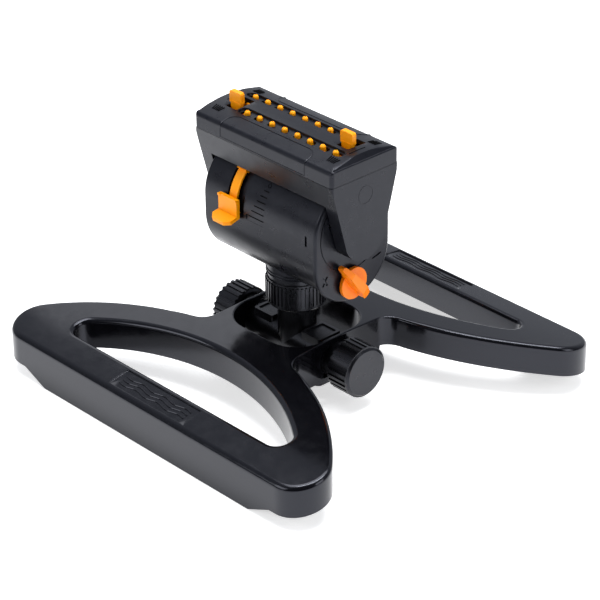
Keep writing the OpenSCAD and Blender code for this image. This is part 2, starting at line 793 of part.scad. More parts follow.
module head_shell() {
  color(dark) difference() {
    intersection() {
      along_x(-side_x, side_x) arm_outline();
      translate([0, 0, 90]) linear_extrude(seam_z) round_rect(head_len, head_w + 0.1, 2);
    }
    // room for the drum
    rod_x(head_clear_r, -arm_x, arm_x, 0, pivot_z);
    box_between([-arm_x, -half_w - 1, 90], [arm_x, half_w + 1, skirt_z]);
    // hollow above the drum and inside both arms
    intersection() {
      along_x(-side_x + head_wall, side_x - head_wall) arm_outline(head_wall);
      union() {
        box_between([-arm_x - 2.2, -half_w, 140], [arm_x + 2.2, half_w, seam_z + 1]);
        mirror_copy([1, 0, 0]) box_between([arm_x + 2.2, -half_w, pivot_z + 9], [side_x, half_w, seam_z + 1]);
      }
    }
    // trunnion sockets
    rod_x(5 + 0.02, -60.2, -50, 0, pivot_z);
    rod_x(trunnion_r + 0.02, 50, 58.4, 0, pivot_z);
    translate([56.4, 0, pivot_z]) cylinder(r = 3.1, h = 20);
    // faint round marks high on the end panels
    for (s = [-1, 1]) difference() {
      rod_x(6, s * side_x - 0.12, s * side_x + 0.12, 0, 150);
      rod_x(5.6, s * side_x - 1, s * side_x + 1, 0, 150);
    }
  }
}

module head_cap() {
  color(dark) difference() {
    intersection() {
      translate([0, 0, seam_z + 0.1]) linear_extrude(20) round_rect(head_len, head_w, 2.2);
      rod_x(crown_r, -side_x, side_x, 0, crown_z);
    }
    intersection() {
      translate([0, 0, seam_z - 1]) linear_extrude(20) round_rect(head_len - 5, head_w - 5, 1.5);
      rod_x(crown_r - cap_wall, -side_x, side_x, 0, crown_z);
    }
    // one groove along each row, with a slot for each nozzle
    for (row = [-1, 1]) intersection() {
      translate([-row * row_shift, row * row_y, 170]) linear_extrude(10) stadium(7 * pitch + 14, 4);
      difference() {
        rod_x(crown_r + 5, -side_x, side_x, 0, crown_z);
        rod_x(crown_r - groove_depth, -side_x - 1, side_x + 1, 0, crown_z);
      }
    }
    for (row = [-1, 1], i = [0:7]) nozzle_slot(row_x(row, i), row * row_y);
    for (s = [-1, 1]) translate([s * blade_x, s * blade_y, 160]) linear_extrude(20)
      square(blade_slot, center = true);
    // shallow finger scoops on both long edges
    for (s = [-1, 1]) intersection() {
      translate([0, s * 24, 165]) linear_extrude(20) stadium(76, 7.5);
      translate([0, s * 21, 0]) difference() {
        rod_x(crown_r + 5, -side_x, side_x, -s * 21, crown_z);
        rod_x(crown_r - 0.8, -side_x - 1, side_x + 1, -s * 21, crown_z);
      }
    }
  }
}

// Slot in the cap: long enough toward the end of the head for its nozzle to lean outward
module nozzle_slot(x, y) {
  sway = (head_top - ball_z) * tan(tilt_of(x)) + 0.3;
  s = x > 0 ? 1 : -1;
  translate([x + s * sway / 2, y, 165]) linear_extrude(20) stadium(2 * slot_half + sway, slot_half);
}

// Water box under the cap: sixteen ball seats on top, a pocket below, and lugs for the trip lever
module spray_manifold() {
  color(grey) difference() {
    box_between([-manifold_x, -manifold_y, 159.6], [manifold_x, manifold_y, manifold_top]);
    box_between([-52.5, -manifold_y + 2, 159], [52.5, manifold_y - 2, 161.4]);
    for (row = [-1, 1], i = [0:7]) translate([row_x(row, i), row * row_y, ball_z - 2.2])
      cylinder(r = seat_r, h = 10);
  }
}

module manifold_floor() {
  color(grey) {
    difference() {
      box_between([-manifold_x, -manifold_y, manifold_low - 0.9], [manifold_x, manifold_y, 159.5]);
      translate([51, 0, 150]) cylinder(r = 1.8, h = 20);
    }
    for (x = [-33, -12]) difference() {
      box_between([x, -3, 154.7], [x + 2, 3, manifold_low]);
      rod_x(1.1 + run_gap, x - 1, x + 3, 0, 156.3);
    }
  }
}

// Tube from the water trunnion up the right arm and across to the manifold floor
module feed_duct() {
  color(grey) difference() {
    union() {
      translate([56.4, 0, pivot_z + 6.7]) cylinder(r = 2.9, h = 28.5);
      rod_x(1.5, 50, 57, 0, duct_z);
      translate([51, 0, 154.5]) cylinder(r = 2.6, h = 3);
    }
    translate([56.4, 0, pivot_z]) cylinder(r = 1.7, h = duct_z - pivot_z);
    rod_x(0.9, 51, 56.4, 0, duct_z);
    translate([51, 0, 155.4]) cylinder(r = 1.7, h = 4);
  }
}

module water_trunnion() {
  color("white") difference() {
    rod_x(trunnion_r, 24, 58.3, 0, pivot_z);
    rod_x(trunnion_bore, 23, 57.2, 0, pivot_z);
    translate([56.4, 0, pivot_z]) cylinder(r = 1.6, h = 14);
    ring_x(8, 5.5, 27, 29, 0, pivot_z);
  }
}

module trunnion_seal() {
  color(rubber) ring_x(trunnion_r, 5.6, 27.1, 28.9, 0, pivot_z);
}

// Finger blade on a plate whose slanted slots lean the nozzles outward as the plate slides back
module width_tab(s) {
  x0 = 6.6;
  x1 = 53;
  y0 = -22.6;
  y1 = 14.1;
  // the blade stands near the front end of its slot
  rest_y = s * blade_y + blade_rest;
  color(orange) difference() {
    union() {
      translate([s > 0 ? x0 : -x1, y0, plate_z]) cube([x1 - x0, y1 - y0, plate_t]);
      translate([s * blade_x, rest_y, plate_z + 1]) linear_extrude(head_top - plate_z + 1)
        round_rect(blade[0], blade[1], 1.2);
      translate([s * blade_x, rest_y + blade_t / 2, head_top + 0.3 + blade[2] / 2]) rotate([90, 0, 0])
        linear_extrude(blade_t) round_rect(paddle_w, blade[2], 1.5);
    }
    for (row = [-1, 1], i = [0:7]) {
      x = row_x(row, i);
      if (x * s > 0) drift_slot(x, row * row_y);
    }
  }
}

module drift_slot(x, y) {
  s = x > 0 ? 1 : -1;
  drift = plate_arm * tan(tilt_of(x));
  lean = atan(s * drift / tab_travel);
  wide = slot_half + 0.15;
  if (moves(x)) translate([x + s * drift / 2, y - tab_travel / 2, plate_z - 1]) rotate(90 + lean)
    linear_extrude(plate_t + 2) stadium(tab_travel / cos(lean) + 2 * wide, wide);
}

module left_width_tab() {
  width_tab(-1);
}

module right_width_tab() {
  width_tab(1);
}

// Nozzle: a flat-sided ball with a pivot pin in its seat, a stem and a round tip, drilled through
module nozzle(row, i) {
  color(orange) translate([row_x(row, i), row * row_y, 0]) difference() {
    union() {
      intersection() {
        translate([0, 0, ball_z]) sphere(ball_r);
        translate([-ball_r, -pin_flat, ball_z - ball_r]) cube([2 * ball_r, 2 * pin_flat, 2 * ball_r]);
      }
      translate([0, pin_end, ball_z]) rotate([90, 0, 0]) cylinder(r = pin_r, h = 2 * pin_end);
      translate([0, 0, ball_z]) cylinder(r = nozzle_r, h = tip_z - nozzle_r - ball_z);
      translate([0, 0, tip_z - nozzle_r]) sphere(nozzle_r);
    }
    translate([0, 0, 150]) cylinder(r = 0.5, h = 40);
    translate([0, 0, ball_z - ball_r - 1]) cylinder(r = 1.5, h = 3);
  }
}

sled_base();
tee_manifold();
pipe_clamp();
clamp_screw(-1);  // clamp_screw_left
clamp_screw(1);  // clamp_screw_right
hose_washer();
filter_screen();
riser_seal();
body_shell();
left_end_cover();
right_end_cover();
gear_plate();
turbine_case();
gear_shaft(-shaft_y, turbine_x0 + 16.8);  // gear_shaft_front
gear_shaft(shaft_y, turbine_x0 + 1.9);  // gear_shaft_back
valve_body();
water_tube();
collar_nut();
hose_nut();
end_cap();
cap_washer();
flow_knob();
valve_plug();
knob_seal();
front_range_tab();
rear_range_tab();
first_gear();
second_gear();
turbine_rotor();
trip_lever();
head_shell();
head_cap();
spray_manifold();
manifold_floor();
drive_gear();
water_trunnion();
trunnion_seal();
feed_duct();
left_width_tab();
right_width_tab();
for (i = [0:7]) {
  nozzle(-1, i);
  nozzle(1, i);
}
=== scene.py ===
import json
import math
import bmesh
import bpy
from mathutils import Matrix, Vector, geometry


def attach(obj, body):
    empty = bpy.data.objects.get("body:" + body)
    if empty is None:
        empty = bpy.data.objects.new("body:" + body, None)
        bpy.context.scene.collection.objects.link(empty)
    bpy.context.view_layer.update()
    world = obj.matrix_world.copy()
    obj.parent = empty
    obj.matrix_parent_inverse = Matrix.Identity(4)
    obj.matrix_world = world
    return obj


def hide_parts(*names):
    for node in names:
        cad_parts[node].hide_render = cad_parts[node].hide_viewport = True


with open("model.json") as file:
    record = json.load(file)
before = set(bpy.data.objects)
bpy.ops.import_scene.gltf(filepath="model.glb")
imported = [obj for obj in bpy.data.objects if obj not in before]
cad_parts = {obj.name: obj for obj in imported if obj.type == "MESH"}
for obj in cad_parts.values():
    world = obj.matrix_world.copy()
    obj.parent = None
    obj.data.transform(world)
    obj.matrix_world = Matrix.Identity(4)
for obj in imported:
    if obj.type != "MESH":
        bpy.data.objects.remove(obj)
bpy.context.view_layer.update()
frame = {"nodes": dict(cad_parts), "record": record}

mm = 0.001
print("frame loaded,", len(frame["nodes"]), "nodes")


# small helpers

def toLinear(hexColour):
    parts = [int(hexColour[i:i + 2], 16) / 255 for i in (1, 3, 5)]
    return [c / 12.92 if c <= 0.04045 else ((c + 0.055) / 1.055) ** 2.4 for c in parts] + [1.0]


def addNode(tree, kind, settings=None, links=None):
    node = tree.nodes.new(kind)
    for key, value in (settings or {}).items():
        if isinstance(key, int) or key in node.inputs.keys():
            node.inputs[key].default_value = value
        else:
            setattr(node, key, value)
    for socket, source in (links or {}).items():
        tree.links.new(source, node.inputs[socket])
    return node


def arcPoints(centre, radius, startDeg, endDeg, steps):
    out = []
    for i in range(steps + 1):
        a = math.radians(startDeg + (endDeg - startDeg) * i / steps)
        out.append((centre[0] + radius * math.cos(a), centre[1] + radius * math.sin(a)))
    return out


def roundRect(width, depth, radius, centre=(0, 0), steps=6):
    pts = []
    for sx, sy, start in ((1, -1, -90), (1, 1, 0), (-1, 1, 90), (-1, -1, 180)):
        corner = (centre[0] + sx * (width / 2 - radius), centre[1] + sy * (depth / 2 - radius))
        pts += arcPoints(corner, radius, start, start + 90, steps)
    return pts


def stadiumPoints(length, radius, centre, steps=10):
    half = length / 2 - radius
    pts = arcPoints((half, 0), radius, -90, 90, steps) + arcPoints((-half, 0), radius, 90, 270, steps)
    return [(centre[0] + x, centre[1] + y) for x, y in pts]


def inside(point, loop):
    x, y = point
    hit = False
    for i, (x1, y1) in enumerate(loop):
        x0, y0 = loop[i - 1]
        if (y0 > y) != (y1 > y) and x < (x1 - x0) * (y - y0) / (y1 - y0) + x0:
            hit = not hit
    return hit


def regionOf(outer, holes):
    return lambda q: inside(q, outer) and not any(inside(q, h) for h in holes)


def middle(face, verts):
    return tuple(sum(verts[i][k] for i in face) / len(face) for k in (0, 1))


def triangulate(loops, keep, step):
    # flat triangles bounded by the loops, with a staggered grid of inner points so curved tops stay smooth
    flat = [p for loop in loops for p in loop]
    edges, start = [], 0
    for loop in loops:
        n = len(loop)
        edges += [(start + i, start + (i + 1) % n) for i in range(n)]
        start += n
    cells = {}
    for p in flat:
        cells.setdefault((int(p[0] // step), int(p[1] // step)), []).append(p)
    lowX, highX = min(p[0] for p in flat), max(p[0] for p in flat)
    lowY, highY = min(p[1] for p in flat), max(p[1] for p in flat)
    for j in range(int((highY - lowY) / step) + 2):
        y = lowY + j * step
        x = lowX + (step / 2 if j % 2 else 0)
        while x < highX:
            cx, cy = int(x // step), int(y // step)
            around = [q for dx in (-1, 0, 1) for dy in (-1, 0, 1) for q in cells.get((cx + dx, cy + dy), [])]
            if keep((x, y)) and all(math.hypot(x - q[0], y - q[1]) > step * 0.5 for q in around):
                flat.append((x, y))
            x += step
    verts, _, faces, *_ = geometry.delaunay_2d_cdt([Vector(p) for p in flat], edges, [], 0, 1e-5)
    verts = [tuple(v) for v in verts]
    return verts, [tuple(f) for f in faces if keep(middle(f, verts))]


def smoothByAngle(piece, angle=35):
    # smooth shading that stays crisp at edges sharper than the angle
    key = "smoothEdges%d" % angle
    group = bpy.data.node_groups.get(key)
    if not group:
        group = bpy.data.node_groups.new(key, "GeometryNodeTree")
        group.interface.new_socket("Geometry", in_out="INPUT", socket_type="NodeSocketGeometry")
        group.interface.new_socket("Geometry", in_out="OUTPUT", socket_type="NodeSocketGeometry")
        start = addNode(group, "NodeGroupInput")
        allSmooth = addNode(group, "GeometryNodeSetShadeSmooth", {"domain": "FACE"},
                            {"Geometry": start.outputs[0]})
        allSmooth.inputs["Shade Smooth"].default_value = True
        edgeAngle = addNode(group, "GeometryNodeInputMeshEdgeAngle")
        sharp = addNode(group, "FunctionNodeCompare", {"operation": "GREATER_THAN"},
                        {0: edgeAngle.outputs["Unsigned Angle"]})
        sharp.inputs[1].default_value = math.radians(angle)
        marked = addNode(group, "GeometryNodeSetShadeSmooth", {"domain": "EDGE"},
                         {"Geometry": allSmooth.outputs[0], "Selection": sharp.outputs[0]})
        marked.inputs["Shade Smooth"].default_value = False
        addNode(group, "NodeGroupOutput", None, {0: marked.outputs[0]})
    piece.modifiers.new("smoothByAngle", "NODES").node_group = group
    weighted = piece.modifiers.new("flatFacesFirst", "WEIGHTED_NORMAL")
    weighted.keep_sharp = True
    weighted.weight = 60


def addBevel(piece, width, angle=35):
    mod = piece.modifiers.new("roundedEdges", "BEVEL")
    mod.width = width * mm
    mod.segments = 2
    mod.limit_method = "ANGLE"
    mod.angle_limit = math.radians(angle)
    mod.use_clamp_overlap = True


def finishPiece(name, bm, material, body, replaced=()):
    # the mesh is in millimetres until here
    bmesh.ops.remove_doubles(bm, verts=bm.verts, dist=1e-4)
    bmesh.ops.recalc_face_normals(bm, faces=bm.faces)
    bmesh.ops.scale(bm, vec=(mm, mm, mm), verts=bm.verts)
    mesh = bpy.data.meshes.new(name)
    bm.to_mesh(mesh)
    bm.free()
    piece = bpy.data.objects.new(name, mesh)
    bpy.context.scene.collection.objects.link(piece)
    mesh.materials.append(material)
    smoothByAngle(piece)
    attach(piece, body)
    if replaced:
        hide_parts(*replaced)
    return piece


def prism(bm, outline, low, high):
    bottom = [bm.verts.new((x, y, low)) for x, y in outline]
    top = [bm.verts.new((x, y, high)) for x, y in outline]
    bm.faces.new(bottom[::-1])
    bm.faces.new(top)
    n = len(outline)
    for i in range(n):
        bm.faces.new((bottom[i], bottom[(i + 1) % n], top[(i + 1) % n], top[i]))


def loft(bm, rings, closeEnds=True):
    made = [[bm.verts.new(p) for p in ring] for ring in rings]
    n = len(rings[0])
    for a, b in zip(made, made[1:]):
        for i in range(n):
            bm.faces.new((a[i], a[(i + 1) % n], b[(i + 1) % n], b[i]))
    if closeEnds:
        bm.faces.new(made[0][::-1])
        bm.faces.new(made[-1])


# materials

def plastic(name, colour, roughness, grainMm=0.5, grainDepthMm=0.01, mottle=0.06, scuff=0.0, **fixed):
    mat = bpy.data.materials.new(name)
    mat.use_nodes = True
    tree = mat.node_tree
    tree.nodes.clear()
    out = addNode(tree, "ShaderNodeOutputMaterial")
    place = addNode(tree, "ShaderNodeTexCoord").outputs["Object"]
    # object coordinates are metres, so a feature of g mm needs a noise scale of 1 / (g * mm)
    grain = addNode(tree, "ShaderNodeTexNoise", {"Scale": 1 / (grainMm * mm), "Detail": 3.0},
                    {"Vector": place})
    flow = addNode(tree, "ShaderNodeTexNoise", {"Scale": 1 / (18 * mm), "Detail": 2.0}, {"Vector": place})
    smudge = addNode(tree, "ShaderNodeTexNoise", {"Scale": 1 / (7 * mm), "Detail": 4.0}, {"Vector": place})
    base = toLinear(colour)
    light = [min(1, c * (1 + mottle) + 0.001) for c in base[:3]] + [1]
    dim = [c * (1 - mottle) for c in base[:3]] + [1]
    tint = addNode(tree, "ShaderNodeMix", {"data_type": "RGBA", 6: dim, 7: light}, {0: flow.outputs[0]})
    glossRange = {1: 0.3, 2: 0.7, 3: max(0.03, roughness - 0.04), 4: roughness + 0.05}
    gloss = addNode(tree, "ShaderNodeMapRange", glossRange, {0: smudge.outputs[0]})
    if scuff:
        # hairline scuffs about 1 mm wide, stretched along the part
        stretched = addNode(tree, "ShaderNodeMapping", {"Scale": (0.12, 1.0, 1.0)}, {"Vector": place})
        lines = addNode(tree, "ShaderNodeTexNoise", {"Scale": 1 / (1.0 * mm), "Detail": 2.0},
                        {"Vector": stretched.outputs[0]})
        fine = addNode(tree, "ShaderNodeMapRange", {1: 0.66, 2: 0.74, 3: 0.0, 4: scuff},
                       {0: lines.outputs[0]})
        gloss = addNode(tree, "ShaderNodeMath", {"operation": "ADD"},
                        {0: gloss.outputs[0], 1: fine.outputs[0]})
    bump = addNode(tree, "ShaderNodeBump", {"Distance": grainDepthMm * mm}, {"Height": grain.outputs[0]})
    shader = addNode(tree, "ShaderNodeBsdfPrincipled", {"IOR": 1.5, **fixed},
                     {"Base Color": tint.outputs[2], "Roughness": gloss.outputs[0],
                      "Normal": bump.outputs[0]})
    tree.links.new(shader.outputs[0], out.inputs[0])
    return mat


def metal(name, colour, roughness, brushMm=0.2):
    mat = bpy.data.materials.new(name)
    mat.use_nodes = True
    tree = mat.node_tree
    tree.nodes.clear()
    out = addNode(tree, "ShaderNodeOutputMaterial")
    place = addNode(tree, "ShaderNodeTexCoord").outputs["Object"]
    brush = addNode(tree, "ShaderNodeTexNoise", {"Scale": 1 / (brushMm * mm), "Detail": 2.0},
                    {"Vector": place})
    rough = addNode(tree, "ShaderNodeMapRange", {3: roughness - 0.08, 4: roughness + 0.08},
                    {0: brush.outputs[0]})
    light = toLinear(colour)
    dim = [c * 0.85 for c in light[:3]] + [1]
    tint = addNode(tree, "ShaderNodeMix", {"data_type": "RGBA", 6: dim, 7: light}, {0: brush.outputs[0]})
    shader = addNode(tree, "ShaderNodeBsdfPrincipled", {"Metallic": 1.0},
                     {"Base Color": tint.outputs[2], "Roughness": rough.outputs[0]})
    tree.links.new(shader.outputs[0], out.inputs[0])
    return mat


coolSheen = {"Specular IOR Level": 0.42, "Specular Tint": (0.83, 0.86, 1.0, 1.0)}
softInside = {"Specular IOR Level": 0.25, "Subsurface Weight": 0.12, "Subsurface Scale": 0.001,
              "Subsurface Radius": (1.0, 0.45, 0.1)}
# ABS from a polished mould: near-black with clear, slightly wavy reflections and soft edge highlights
glossyBlackAbs = plastic("glossyBlackAbs", "#050508", 0.13, grainMm=1.6, grainDepthMm=0.012, scuff=0.03,
                         **coolSheen)
# ABS from a spark-textured mould: charcoal that catches broad grey light (0.1 mm texture drawn at 0.35 mm)
satinCharcoalAbs = plastic("satinCharcoalAbs", "#090A10", 0.3, grainMm=0.35, grainDepthMm=0.008,
                           **{**coolSheen, "Specular IOR Level": 0.3})
# the moulded marks: near-black, dull ABS as painted shade, standing in for the dark inside narrow sunk marks
recessShadeBlackAbs = plastic("recessShadeBlackAbs", "#020203", 0.9, grainMm=0.5, grainDepthMm=0.01,
                         **{"Specular IOR Level": 0.08})
# glass-filled nylon, moulded: dull black with a fine grain on ribs and pipe
satinBlackNylon = plastic("satinBlackNylon", "#050507", 0.3, grainMm=0.5, grainDepthMm=0.02, **coolSheen)
# coloured acetal, moulded: clean orange with a waxy sheen
orangeAcetal = plastic("orangeAcetal", "#FF9C00", 0.34, grainMm=0.6, grainDepthMm=0.006, mottle=0.04,
                       **softInside)
# a darker, redder copy of the same acetal for the knob: painted shade
knobShadedAcetal = plastic("knobShadedAcetal", "#F57E00", 0.34, grainMm=0.6, grainDepthMm=0.006, mottle=0.04,
                       **softInside)
# thermoplastic rubber: the same orange, duller
orangeRubber = plastic("orangeRubber", "#FFA400", 0.46, grainMm=0.4, grainDepthMm=0.006, mottle=0.04,
                       **softInside)
# nitrile rubber: dull black rings
nitrileRubber = plastic("nitrileRubber", "#151515", 0.7, grainMm=0.3, grainDepthMm=0.02)
# natural acetal: milky white gears
naturalAcetal = plastic("naturalAcetal", "#E4E3DD", 0.35, grainMm=0.5, grainDepthMm=0.006)
# polypropylene, moulded grey: inner water parts
greyPolypropylene = plastic("greyPolypropylene", "#6D7076", 0.42, grainMm=0.6, grainDepthMm=0.01)
# stainless steel, drawn and lightly brushed: screws, shafts and strainer
stainlessSteel = metal("stainlessSteel", "#B9BCC0", 0.3)

slotMaterials = {
    "black_gloss_plastic": glossyBlackAbs, "black_pipe_plastic": satinBlackNylon,
    "charcoal_plastic": satinCharcoalAbs, "black_grip_plastic": satinBlackNylon,
    "orange_plastic": orangeAcetal, "orange_nozzle_rubber": orangeRubber, "seal_rubber": nitrileRubber,
    "steel_screw": stainlessSteel, "steel_mesh": stainlessSteel, "white_acetal": naturalAcetal,
    "grey_inner_plastic": greyPolypropylene}
# edge rounding of the kept parts, in mm
edgeRound = {"head_shell": 1.3, "tee_manifold": 0.4, "collar_nut": 0.25, "hose_nut": 0.25,
             "end_cap": 0.25, "body_shell": 0.35, "front_range_tab": 0.5, "rear_range_tab": 0.5,
             "left_width_tab": 0.6, "right_width_tab": 0.6, "flow_knob": 0.6, "pipe_clamp": 0.4,
             "clamp_screw_left": 0.15, "clamp_screw_right": 0.15}
for part in frame["record"]["subparts"]:
    node = frame["nodes"][part["node"]]
    node.data.materials.clear()
    # the knob gets the darker copy of the orange, as painted shade
    knobInShade = part["node"] == "flow_knob"
    node.data.materials.append(knobShadedAcetal if knobInShade else slotMaterials[part["material_slot"]])
    if part["node"] in edgeRound:
        thin = node.modifiers.new("flatFacesJoined", "DECIMATE")
        thin.decimate_type = "DISSOLVE"
        thin.angle_limit = math.radians(0.5)
        addBevel(node, edgeRound[part["node"]])
    smoothByAngle(node)
print("materials ready")


# sled base: two bows back to back, arched, with filleted edges and an open underside

base = {"length": 282, "width": 262, "bowCentreY": 224.5, "tipRadius": 19.6, "bowWidth": 22.5,
        "barWidth": 23.6, "holeCorner": 8.5, "hubHalfX": 38, "waistRadius": 12, "hubHeight": 42.5,
        "archDrop": 13.8, "skirt": 20.5, "wall": 2.6, "fillet": 3.0, "hubFillet": 0.85, "wellX": 72,
        "wellY": 68, "wellCorner": 22, "wellWall": 2.0, "rimLow": 14, "pipeZ": 26, "notchRadius": 12.9,
        "keelFlat": 97, "keelEnd": 120, "keelRise": 10, "panel": (70, 15.5, 1.5), "panelY": 119.2,
        "panelDepth": 0.8, "gridStep": 7.0, "ribPitch": 48.5, "ribSize": (3, 16, 0.3),
        "ribHeights": (10, 26.3), "bossAt": (29, 26), "bossRadius": 4.6, "bossHeights": (14, 24)}
edgeY = base["width"] / 2
bowRadius = base["tipRadius"] + math.hypot(base["length"] / 2 - base["tipRadius"],
                                           base["bowCentreY"] - edgeY + base["tipRadius"])
holeRadius = bowRadius - base["bowWidth"]
holeEdge = edgeY - base["barWidth"]
archRadius = (edgeY ** 2 + base["archDrop"] ** 2) / (2 * base["archDrop"])


def archHeight(x, y):
    return base["hubHeight"] - archRadius + math.sqrt(archRadius ** 2 - y * y)


def baseLow(x, y):
    if abs(x) < base["hubHalfX"] + 0.2 and abs(y) < base["wellY"] / 2 + 2.6:
        if abs(y) <= base["notchRadius"]:
            return base["pipeZ"] + math.sqrt(base["notchRadius"] ** 2 - y * y)
        return base["rimLow"]
    skirt = archHeight(x, y) - base["skirt"]
    if abs(y) > edgeY - base["wall"] - 0.05:
        keel = base["keelRise"] * (abs(x) - base["keelFlat"]) / (base["keelEnd"] - base["keelFlat"])
        return max(0, min(skirt, keel)) if abs(x) < base["keelEnd"] else skirt
    return skirt


def cornerAt(radius, edge, corner):
    cy = edge - corner
    return (math.sqrt((radius - corner) ** 2 - (base["bowCentreY"] - cy) ** 2), cy)


def towardDeg(c):
    return math.degrees(math.atan2(c[1] - base["bowCentreY"], c[0]))


def baseQuarter(t):
    tip = cornerAt(bowRadius, edgeY, base["tipRadius"])
    waistX = base["hubHalfX"] + base["waistRadius"]
    waist = (waistX, base["bowCentreY"] - math.sqrt((bowRadius + base["waistRadius"]) ** 2 - waistX ** 2))
    meet = towardDeg(waist)
    bow = (0, base["bowCentreY"])
    pts = [(base["hubHalfX"] - t, y) for y in (0, 3.2, 6.4, 9.1, 11.2, 12.4, 12.9, 12.91, 16, 22, 28)]
    pts += arcPoints(waist, base["waistRadius"] + t, 180, 180 + meet, 10)
    pts += arcPoints(bow, bowRadius - t, meet, towardDeg(tip), 44)[1:]
    pts += arcPoints(tip, base["tipRadius"] - t, towardDeg(tip), 90, 26)[1:]
    pts += [(x, edgeY - t) for x in (120, 115.86, 110, 104, 97, 84, 72, 60, 48, 36, 24, 12, 0)]
    return pts


def baseHole(t):
    c = cornerAt(holeRadius, holeEdge, base["holeCorner"])
    half = arcPoints((0, base["bowCentreY"]), holeRadius + t, -90, towardDeg(c), 34)
    half += arcPoints(c, base["holeCorner"] + t, towardDeg(c), 90, 14)[1:]
    half += [(x, holeEdge + t) for x in (78, 66, 54, 42, 30, 18, 6)]
    return half + [(-x, y) for x, y in half[:0:-1]]


def baseOutline(t):
    quarter = baseQuarter(t)
    upper = quarter + [(-x, y) for x, y in quarter[-2::-1]]
    return upper + [(x, -y) for x, y in upper[-2:0:-1]]


def wellOutline(t):
    pts = []
    halfX, halfY, corner = base["wellX"] / 2, base["wellY"] / 2, base["wellCorner"]
    for a in (0, 2.345, 2.37, 9, 18, 28, 38, 48, 58, 68, 79, 90):
        c, s = math.cos(math.radians(a)), math.sin(math.radians(a))
        pts.append((halfX - corner + (corner + t) * c, halfY - corner + (corner + t) * s))
    side = [(halfX + t, y) for y in (3.2, 6.4, 9.1)]
    right = side + pts
    upper = right + [(-x, y) for x, y in right[::-1]] + [(-halfX - t, 0)]
    return upper + [(x, -y) for x, y in upper[-2::-1]] + [(halfX + t, 0)]


def flipY(pts):
    return [(x, -y) for x, y in pts[::-1]]


def edgeLoop(outlineAt, fillet, wall, turn=False):
    plain, grown = outlineAt(0), outlineAt(1)
    if turn:
        plain, grown = flipY(plain), flipY(grown)
    into = [(b[0] - a[0], b[1] - a[1]) for a, b in zip(plain, grown)]
    return {"points": plain, "into": into, "round": [fillet(x, y) for x, y in plain], "wall": wall}


def moved(loop, amounts):
    return [(p[0] + n[0] * a, p[1] + n[1] * a) for p, n, a in zip(loop["points"], loop["into"], amounts)]


def roofedShell(outer, holes, topZ, lowZ, roof, step, panels=(), cuts=(), lip=0.4):
    # filleted roof with side walls, open below; panels are shallow recesses in it, cuts go right through it
    bm = bmesh.new()
    loops = [outer] + holes
    flatRings = [moved(l, [r * 1.15 for r in l["round"]]) for l in loops]
    edges = flatRings + [p["rings"][0][0] for p in panels] + [c["wide"] for c in cuts if c["panel"] is None]
    keep = regionOf(edges[0], edges[1:])

    def sheet(verts, faces, heightAt, flip=False):
        made = [bm.verts.new((x, y, heightAt(x, y))) for x, y in verts]
        for f in faces:
            bm.faces.new([made[i] for i in (f[::-1] if flip else f)])

    sheet(*triangulate(edges, keep, step), topZ)
    for k, panel in enumerate(panels):
        rings = [[(x, y, topZ(x, y) - depth) for x, y in pts] for pts, depth in panel["rings"]]
        loft(bm, rings, closeEnds=False)
        floor, depth = panel["rings"][-1]
        slots = [c["wide"] for c in cuts if c["panel"] == k]
        sheet(*triangulate([floor] + slots, regionOf(floor, slots), step), lambda x, y: topZ(x, y) - depth)
    for cut in cuts:
        depth = 0 if cut["panel"] is None else panels[cut["panel"]]["rings"][-1][1]
        rings = [[(x, y, topZ(x, y) - depth) for x, y in cut["wide"]],
                 [(x, y, topZ(x, y) - depth - 0.2) for x, y in cut["points"]],
                 [(x, y, topZ(x, y) - roof) for x, y in cut["points"]]]
        loft(bm, rings, closeEnds=False)
    feet = {}
    for l, flatRing in zip(loops, flatRings):
        rings = [[(x, y, topZ(x, y)) for x, y in flatRing]]
        for k in range(6):
            a = math.pi / 2 * k / 5
            pts = moved(l, [r * (1 - math.sin(a)) for r in l["round"]])
            rings.append([(x, y, topZ(x, y) - r * (1 - math.cos(a))) for (x, y), r in zip(pts, l["round"])])
        foot = [lowZ(*p) for p in l["points"]]
        for inward, up in ((0, lip), (0.3 * lip, 0.3 * lip), (lip, 0)):
            pts = moved(l, [inward] * len(foot))
            rings.append([(x, y, z + up) for (x, y), z in zip(pts, foot)])
        for x, y, z in rings[-1]:
            feet[(round(x, 2), round(y, 2))] = z
        loft(bm, rings, closeEnds=False)
    lipRings = [moved(l, [lip] * len(l["points"])) for l in loops]
    wallRings = [moved(l, [l["wall"]] * len(l["points"])) for l in loops]
    through = [c["points"] for c in cuts]
    inLip, inCavity = regionOf(lipRings[0], lipRings[1:] + through), regionOf(wallRings[0], wallRings[1:])
    verts, faces = triangulate(lipRings + wallRings + through, inLip, step)
    low, high, rim = {}, {}, {}

    def lowVert(i):
        if i not in low:
            x, y = verts[i]
            low[i] = bm.verts.new((x, y, feet.get((round(x, 2), round(y, 2)), lowZ(x, y))))
        return low[i]

    def highVert(i):
        if i not in high:
            high[i] = bm.verts.new((*verts[i], topZ(*verts[i]) - roof))
        return high[i]

    for f in faces:
        hollow = inCavity(middle(f, verts))
        bm.faces.new([(highVert if hollow else lowVert)(i) for i in f[::-1]])
        for a, b in zip(f, f[1:] + f[:1]):
            rim.setdefault((min(a, b), max(a, b)), []).append(hollow)
    for (a, b), users in rim.items():
        if sorted(users) == [False, True]:
            bm.faces.new((lowVert(a), lowVert(b), highVert(b), highVert(a)))
    return bm


def outerFillet(x, y):
    if abs(x) > 62:
        return base["fillet"]
    share = min(1, max(0, (abs(y) - 36) / 16))
    return base["hubFillet"] + (base["fillet"] - base["hubFillet"]) * share


